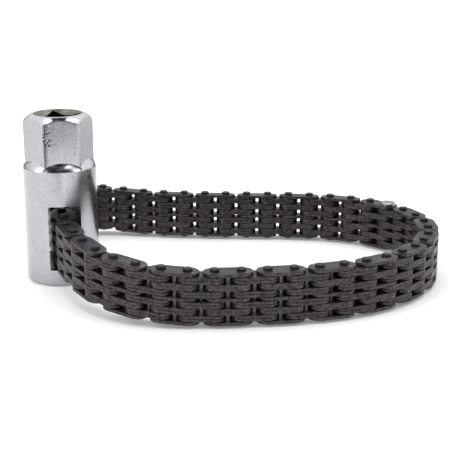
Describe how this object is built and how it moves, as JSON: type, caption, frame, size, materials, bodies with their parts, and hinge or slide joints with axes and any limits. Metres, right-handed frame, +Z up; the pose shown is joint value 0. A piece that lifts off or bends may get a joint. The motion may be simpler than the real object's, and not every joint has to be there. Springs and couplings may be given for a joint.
{
  "type": "oil filter wrench",
  "caption": "Chain-type filter wrench: a chromed drive socket, hexagonal at the top and slotted below, with an endless loop of leaf chain passing through the slot to grip a canister",
  "frame": {"origin": "centre of the flat bottom face of the drive socket", "axes": "+Z up the axis of the socket towards its drive recess; the chain slot runs along Y with its front mouth towards -Y; +X from the socket across the chain loop towards its far end"},
  "size_m": [0.1659, 0.1409, 0.067],
  "materials": {
    "socket": "satin bright chromium plating",
    "chain": "dark oiled oxide finish, fine grain",
    "joining_pin": "bright bare steel"
  },
  "bodies": {
    "socket_body": {"socket_body": "socket"},
    "slot_pin": {"slot_pin": "chain"},
    "inner_link_01": {"inner_link_01": "chain"},
    "outer_link_01": {"outer_link_01": "chain"},
    "inner_link_02": {"inner_link_02": "chain"},
    "outer_link_02": {"outer_link_02": "chain"},
    "inner_link_03": {"inner_link_03": "chain"},
    "outer_link_03": {"outer_link_03": "chain"},
    "inner_link_04": {"inner_link_04": "chain"},
    "outer_link_04": {"outer_link_04": "chain"},
    "inner_link_05": {"inner_link_05": "chain"},
    "outer_link_05": {"outer_link_05": "chain"},
    "inner_link_06": {"inner_link_06": "chain"},
    "outer_link_06": {"outer_link_06": "chain"},
    "inner_link_07": {"inner_link_07": "chain"},
    "outer_link_07": {"outer_link_07": "chain"},
    "inner_link_08": {"inner_link_08": "chain"},
    "outer_link_08": {"outer_link_08": "chain"},
    "inner_link_09": {"inner_link_09": "chain"},
    "outer_link_09": {"outer_link_09": "chain"},
    "inner_link_10": {"inner_link_10": "chain"},
    "outer_link_10": {"outer_link_10": "chain"},
    "inner_link_11": {"inner_link_11": "chain"},
    "outer_link_11": {"outer_link_11": "chain"},
    "inner_link_12": {"inner_link_12": "chain"},
    "outer_link_12": {"outer_link_12": "chain"},
    "inner_link_13": {"inner_link_13": "chain"},
    "outer_link_13": {"outer_link_13": "chain", "joining_pin": "joining_pin"},
    "inner_link_14": {"inner_link_14": "chain"},
    "outer_link_14": {"outer_link_14": "chain"},
    "inner_link_15": {"inner_link_15": "chain"},
    "outer_link_15": {"outer_link_15": "chain"},
    "inner_link_16": {"inner_link_16": "chain"},
    "outer_link_16": {"outer_link_16": "chain"},
    "inner_link_17": {"inner_link_17": "chain"},
    "outer_link_17": {"outer_link_17": "chain"},
    "inner_link_18": {"inner_link_18": "chain"},
    "outer_link_18": {"outer_link_18": "chain"},
    "inner_link_19": {"inner_link_19": "chain"},
    "outer_link_19": {"outer_link_19": "chain"},
    "inner_link_20": {"inner_link_20": "chain"},
    "outer_link_20": {"outer_link_20": "chain"},
    "inner_link_21": {"inner_link_21": "chain"},
    "outer_link_21": {"outer_link_21": "chain"},
    "inner_link_22": {"inner_link_22": "chain"},
    "outer_link_22": {"outer_link_22": "chain"},
    "inner_link_23": {"inner_link_23": "chain"},
    "outer_link_23": {"outer_link_23": "chain"},
    "inner_link_24": {"inner_link_24": "chain"},
    "outer_link_24": {"outer_link_24": "chain"}
  },
  "joints": [
    {"name": "chain_feed", "type": "slide", "parent": "socket_body", "child": "slot_pin", "axis": [0, 1, 0], "range_m": [-0.0025, 0.0025]},
    {"name": "loop_swivel", "type": "hinge", "parent": "slot_pin", "child": "outer_link_24", "pos_m": [0, -0.00929, 0.017], "axis": [0, 0, 1], "range_deg": [-2.5, 2.5]},
    {"name": "pivot_00", "type": "hinge", "parent": "outer_link_24", "child": "inner_link_01", "pos_m": [0, -0.00929, 0.0175], "axis": [0, 0, 1], "range_deg": [-1.19, 1.19]},
    {"name": "pivot_01", "type": "hinge", "parent": "inner_link_01", "child": "outer_link_01", "pos_m": [0.0002, -0.01881, 0.01721], "axis": [0, 0, 1], "range_deg": [-3.05, 3.05]},
    {"name": "pivot_02", "type": "hinge", "parent": "outer_link_01", "child": "inner_link_02", "pos_m": [0.00167, -0.0282, 0.01662], "axis": [0, 0, 1], "range_deg": [-3.14, 3.14]},
    {"name": "pivot_03", "type": "hinge", "parent": "inner_link_02", "child": "outer_link_02", "pos_m": [0.00394, -0.03741, 0.01573], "axis": [0, 0, 1], "range_deg": [-2.23, 2.23]},
    {"name": "pivot_04", "type": "hinge", "parent": "outer_link_02", "child": "inner_link_03", "pos_m": [0.00768, -0.0461, 0.01459], "axis": [0, 0, 1], "range_deg": [-0.97, 0.97]},
    {"name": "pivot_05", "type": "hinge", "parent": "inner_link_03", "child": "outer_link_03", "pos_m": [0.01314, -0.0538, 0.01337], "axis": [0, 0, 1], "range_deg": [-0.189, 0.189]},
    {"name": "pivot_06", "type": "hinge", "parent": "outer_link_03", "child": "inner_link_04", "pos_m": [0.02026, -0.06003, 0.01228], "axis": [0, 0, 1], "range_deg": [-0.96, 0.96]},
    {"name": "pivot_07", "type": "hinge", "parent": "inner_link_04", "child": "outer_link_04", "pos_m": [0.02859, -0.06458, 0.01141], "axis": [0, 0, 1], "range_deg": [-1.29, 1.29]},
    {"name": "pivot_08", "type": "hinge", "parent": "outer_link_04", "child": "inner_link_05", "pos_m": [0.03759, -0.06762, 0.0108], "axis": [0, 0, 1], "range_deg": [-1.28, 1.28]},
    {"name": "pivot_09", "type": "hinge", "parent": "inner_link_05", "child": "outer_link_05", "pos_m": [0.04689, -0.06968, 0.0105], "axis": [0, 0, 1], "range_deg": [-1.12, 1.12]},
    {"name": "pivot_10", "type": "hinge", "parent": "outer_link_05", "child": "inner_link_06", "pos_m": [0.05628, -0.07125, 0.0105], "axis": [0, 0, 1], "range_deg": [-0.95, 0.95]},
    {"name": "pivot_11", "type": "hinge", "parent": "inner_link_06", "child": "outer_link_06", "pos_m": [0.06573, -0.07246, 0.0105], "axis": [0, 0, 1], "range_deg": [-0.9, 0.9]},
    {"name": "pivot_12", "type": "hinge", "parent": "outer_link_06", "child": "inner_link_07", "pos_m": [0.07522, -0.07328, 0.0105], "axis": [0, 0, 1], "range_deg": [-0.99, 0.99]},
    {"name": "pivot_13", "type": "hinge", "parent": "inner_link_07", "child": "outer_link_07", "pos_m": [0.08474, -0.07344, 0.0105], "axis": [0, 0, 1], "range_deg": [-1.26, 1.26]},
    {"name": "pivot_14", "type": "hinge", "parent": "outer_link_07", "child": "inner_link_08", "pos_m": [0.09424, -0.07269, 0.0105], "axis": [0, 0, 1], "range_deg": [-1.68, 1.68]},
    {"name": "pivot_15", "type": "hinge", "parent": "inner_link_08", "child": "outer_link_08", "pos_m": [0.10357, -0.07076, 0.0105], "axis": [0, 0, 1], "range_deg": [-2.18, 2.18]},
    {"name": "pivot_16", "type": "hinge", "parent": "outer_link_08", "child": "inner_link_09", "pos_m": [0.11256, -0.06761, 0.0105], "axis": [0, 0, 1], "range_deg": [-2.62, 2.62]},
    {"name": "pivot_17", "type": "hinge", "parent": "inner_link_09", "child": "outer_link_09", "pos_m": [0.12089, -0.063, 0.0105], "axis": [0, 0, 1], "range_deg": [-2.8, 2.8]},
    {"name": "pivot_18", "type": "hinge", "parent": "outer_link_09", "child": "inner_link_10", "pos_m": [0.12854, -0.05732, 0.0105], "axis": [0, 0, 1], "range_deg": [-2.43, 2.43]},
    {"name": "pivot_19", "type": "hinge", "parent": "inner_link_10", "child": "outer_link_10", "pos_m": [0.13516, -0.05047, 0.0105], "axis": [0, 0, 1], "range_deg": [-1.28, 1.28]},
    {"name": "pivot_20", "type": "hinge", "parent": "outer_link_10", "child": "inner_link_11", "pos_m": [0.14051, -0.0426, 0.0105], "axis": [0, 0, 1], "range_deg": [-0.7, 0.7]},
    {"name": "pivot_21", "type": "hinge", "parent": "inner_link_11", "child": "outer_link_11", "pos_m": [0.14438, -0.03389, 0.0105], "axis": [0, 0, 1], "range_deg": [-3.15, 3.15]},
    {"name": "pivot_22", "type": "hinge", "parent": "outer_link_11", "child": "inner_link_12", "pos_m": [0.14667, -0.02465, 0.0105], "axis": [0, 0, 1], "range_deg": [-5.27, 5.27]},
    {"name": "pivot_23", "type": "hinge", "parent": "inner_link_12", "child": "outer_link_12", "pos_m": [0.14714, -0.01513, 0.0105], "axis": [0, 0, 1], "range_deg": [-6.11, 6.11]},
    {"name": "pivot_24", "type": "hinge", "parent": "outer_link_12", "child": "inner_link_13", "pos_m": [0.14553, -0.00575, 0.0105], "axis": [0, 0, 1], "range_deg": [-4.7, 4.7]},
    {"name": "pivot_47", "type": "hinge", "parent": "outer_link_24", "child": "inner_link_24", "pos_m": [0, 0.00023, 0.01749], "axis": [0, 0, 1], "range_deg": [-1.2, 1.2]},
    {"name": "pivot_46", "type": "hinge", "parent": "inner_link_24", "child": "outer_link_23", "pos_m": [0, 0.00975, 0.01718], "axis": [0, 0, 1], "range_deg": [-2.22, 2.22]},
    {"name": "pivot_45", "type": "hinge", "parent": "outer_link_23", "child": "inner_link_23", "pos_m": [-0.00003, 0.01926, 0.01656], "axis": [0, 0, 1], "range_deg": [-3.42, 3.42]},
    {"name": "pivot_44", "type": "hinge", "parent": "inner_link_23", "child": "outer_link_22", "pos_m": [-0.00032, 0.02873, 0.01565], "axis": [0, 0, 1], "range_deg": [-2.89, 2.89]},
    {"name": "pivot_43", "type": "hinge", "parent": "outer_link_22", "child": "inner_link_22", "pos_m": [-0.00087, 0.0382, 0.01475], "axis": [0, 0, 1], "range_deg": [-1.59, 1.59]},
    {"name": "pivot_42", "type": "hinge", "parent": "inner_link_22", "child": "outer_link_21", "pos_m": [0.0003, 0.04763, 0.01412], "axis": [0, 0, 1], "range_deg": [-0.091, 0.091]},
    {"name": "pivot_41", "type": "hinge", "parent": "outer_link_21", "child": "inner_link_21", "pos_m": [0.00588, 0.05533, 0.01357], "axis": [0, 0, 1], "range_deg": [-1.31, 1.31]},
    {"name": "pivot_40", "type": "hinge", "parent": "inner_link_21", "child": "outer_link_20", "pos_m": [0.01464, 0.05903, 0.013], "axis": [0, 0, 1], "range_deg": [-2.35, 2.35]},
    {"name": "pivot_39", "type": "hinge", "parent": "outer_link_20", "child": "inner_link_20", "pos_m": [0.02413, 0.05861, 0.01231], "axis": [0, 0, 1], "range_deg": [-2.81, 2.81]},
    {"name": "pivot_38", "type": "hinge", "parent": "inner_link_20", "child": "outer_link_19", "pos_m": [0.03316, 0.05571, 0.01141], "axis": [0, 0, 1], "range_deg": [-2.67, 2.67]},
    {"name": "pivot_37", "type": "hinge", "parent": "outer_link_19", "child": "inner_link_19", "pos_m": [0.04188, 0.05194, 0.0108], "axis": [0, 0, 1], "range_deg": [-2.14, 2.14]},
    {"name": "pivot_36", "type": "hinge", "parent": "inner_link_19", "child": "outer_link_18", "pos_m": [0.05069, 0.04832, 0.0105], "axis": [0, 0, 1], "range_deg": [-1.5, 1.5]},
    {"name": "pivot_35", "type": "hinge", "parent": "outer_link_18", "child": "inner_link_18", "pos_m": [0.0596, 0.04497, 0.0105], "axis": [0, 0, 1], "range_deg": [-0.97, 0.97]},
    {"name": "pivot_34", "type": "hinge", "parent": "inner_link_18", "child": "outer_link_17", "pos_m": [0.06862, 0.0419, 0.0105], "axis": [0, 0, 1], "range_deg": [-0.67, 0.67]},
    {"name": "pivot_33", "type": "hinge", "parent": "outer_link_17", "child": "inner_link_17", "pos_m": [0.07771, 0.03906, 0.0105], "axis": [0, 0, 1], "range_deg": [-0.62, 0.62]},
    {"name": "pivot_32", "type": "hinge", "parent": "inner_link_17", "child": "outer_link_16", "pos_m": [0.08687, 0.03643, 0.0105], "axis": [0, 0, 1], "range_deg": [-0.82, 0.82]},
    {"name": "pivot_31", "type": "hinge", "parent": "outer_link_16", "child": "inner_link_16", "pos_m": [0.09604, 0.03385, 0.0105], "axis": [0, 0, 1], "range_deg": [-1.17, 1.17]},
    {"name": "pivot_30", "type": "hinge", "parent": "inner_link_16", "child": "outer_link_15", "pos_m": [0.10514, 0.03104, 0.0105], "axis": [0, 0, 1], "range_deg": [-1.54, 1.54]},
    {"name": "pivot_29", "type": "hinge", "parent": "outer_link_15", "child": "inner_link_15", "pos_m": [0.11405, 0.02769, 0.0105], "axis": [0, 0, 1], "range_deg": [-1.76, 1.76]},
    {"name": "pivot_28", "type": "hinge", "parent": "inner_link_15", "child": "outer_link_14", "pos_m": [0.12261, 0.02351, 0.0105], "axis": [0, 0, 1], "range_deg": [-1.64, 1.64]},
    {"name": "pivot_27", "type": "hinge", "parent": "outer_link_14", "child": "inner_link_14", "pos_m": [0.13044, 0.01808, 0.0105], "axis": [0, 0, 1], "range_deg": [-0.95, 0.95]},
    {"name": "pivot_26", "type": "hinge", "parent": "inner_link_14", "child": "outer_link_13", "pos_m": [0.13705, 0.01122, 0.0105], "axis": [0, 0, 1], "range_deg": [-0.444, 0.444]}
  ],
  "couplings": [
    {"joint": "pivot_00", "follows": "pivot_15", "ratio": -0.5431},
    {"joint": "pivot_01", "follows": "pivot_15", "ratio": -1.4009},
    {"joint": "pivot_02", "follows": "pivot_15", "ratio": -1.439},
    {"joint": "pivot_03", "follows": "pivot_15", "ratio": -1.0239},
    {"joint": "pivot_04", "follows": "pivot_15", "ratio": -0.44351},
    {"joint": "pivot_05", "follows": "pivot_15", "ratio": 0.086127},
    {"joint": "pivot_06", "follows": "pivot_15", "ratio": 0.43895},
    {"joint": "pivot_07", "follows": "pivot_15", "ratio": 0.58973},
    {"joint": "pivot_08", "follows": "pivot_15", "ratio": 0.58773},
    {"joint": "pivot_09", "follows": "pivot_15", "ratio": 0.5127},
    {"joint": "pivot_10", "follows": "pivot_15", "ratio": 0.43754},
    {"joint": "pivot_11", "follows": "pivot_15", "ratio": 0.4105},
    {"joint": "pivot_12", "follows": "pivot_15", "ratio": 0.45627},
    {"joint": "pivot_13", "follows": "pivot_15", "ratio": 0.58019},
    {"joint": "pivot_14", "follows": "pivot_15", "ratio": 0.77172},
    {"joint": "pivot_16", "follows": "pivot_15", "ratio": 1.2045},
    {"joint": "pivot_17", "follows": "pivot_15", "ratio": 1.2831},
    {"joint": "pivot_18", "follows": "pivot_15", "ratio": 1.1167},
    {"joint": "pivot_19", "follows": "pivot_15", "ratio": 0.58685},
    {"joint": "pivot_20", "follows": "pivot_15", "ratio": -0.3226},
    {"joint": "pivot_21", "follows": "pivot_15", "ratio": -1.4444},
    {"joint": "pivot_22", "follows": "pivot_15", "ratio": -2.4204},
    {"joint": "pivot_23", "follows": "pivot_15", "ratio": -2.8045},
    {"joint": "pivot_24", "follows": "pivot_15", "ratio": -2.1547},
    {"joint": "pivot_47", "follows": "pivot_15", "ratio": 0.54915},
    {"joint": "pivot_46", "follows": "pivot_15", "ratio": 1.0172},
    {"joint": "pivot_45", "follows": "pivot_15", "ratio": 1.5714},
    {"joint": "pivot_44", "follows": "pivot_15", "ratio": 1.3251},
    {"joint": "pivot_43", "follows": "pivot_15", "ratio": 0.73089},
    {"joint": "pivot_42", "follows": "pivot_15", "ratio": 0.041109},
    {"joint": "pivot_41", "follows": "pivot_15", "ratio": -0.6026},
    {"joint": "pivot_40", "follows": "pivot_15", "ratio": -1.0801},
    {"joint": "pivot_39", "follows": "pivot_15", "ratio": -1.2907},
    {"joint": "pivot_38", "follows": "pivot_15", "ratio": -1.2255},
    {"joint": "pivot_37", "follows": "pivot_15", "ratio": -0.97986},
    {"joint": "pivot_36", "follows": "pivot_15", "ratio": -0.68745},
    {"joint": "pivot_35", "follows": "pivot_15", "ratio": -0.4452},
    {"joint": "pivot_34", "follows": "pivot_15", "ratio": -0.30588},
    {"joint": "pivot_33", "follows": "pivot_15", "ratio": -0.28613},
    {"joint": "pivot_32", "follows": "pivot_15", "ratio": -0.37476},
    {"joint": "pivot_31", "follows": "pivot_15", "ratio": -0.53446},
    {"joint": "pivot_30", "follows": "pivot_15", "ratio": -0.70431},
    {"joint": "pivot_29", "follows": "pivot_15", "ratio": -0.80685},
    {"joint": "pivot_28", "follows": "pivot_15", "ratio": -0.75026},
    {"joint": "pivot_27", "follows": "pivot_15", "ratio": -0.4363},
    {"joint": "pivot_26", "follows": "pivot_15", "ratio": 0.20333}
  ]
}
